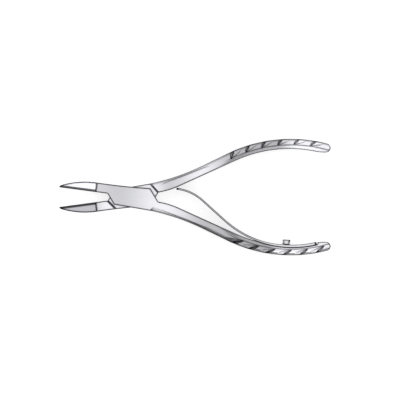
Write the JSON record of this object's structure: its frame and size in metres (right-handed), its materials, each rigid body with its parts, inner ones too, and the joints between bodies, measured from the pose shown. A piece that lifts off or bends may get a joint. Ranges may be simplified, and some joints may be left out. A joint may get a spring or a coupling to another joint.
{
  "type": "bone cutting forceps",
  "caption": "Straight bone cutting forceps: two lapped halves on one pivot, bevelled blades, curved fluted grips and a leaf spring that opens them.",
  "frame": {"origin": "pivot axis where it meets the flat back of the joint, on which the instrument lies", "axes": "+X from the pivot toward the handles, +Y toward the upper handle as drawn, +Z along the pivot axis, out of the front face"},
  "size_m": [0.1692, 0.0726, 0.0096],
  "materials": {
    "body_steel": "satin",
    "spring_steel": "satin",
    "screw_steel": "satin"
  },
  "bodies": {
    "front": {"front_half": "body_steel", "pivot_screw": "screw_steel", "leaf_spring": "spring_steel", "spring_screw": "screw_steel", "spring_pin": "screw_steel"},
    "rear": {"rear_half": "body_steel"}
  },
  "joints": [
    {"name": "handle_pivot", "type": "hinge", "parent": "front", "child": "rear", "pos_m": [0, 0, 0.0048], "axis": [0, 0, -1], "range_deg": [0, 15], "stiffness_Nm_per_rad": 3, "deforming": ["leaf_spring"]}
  ]
}
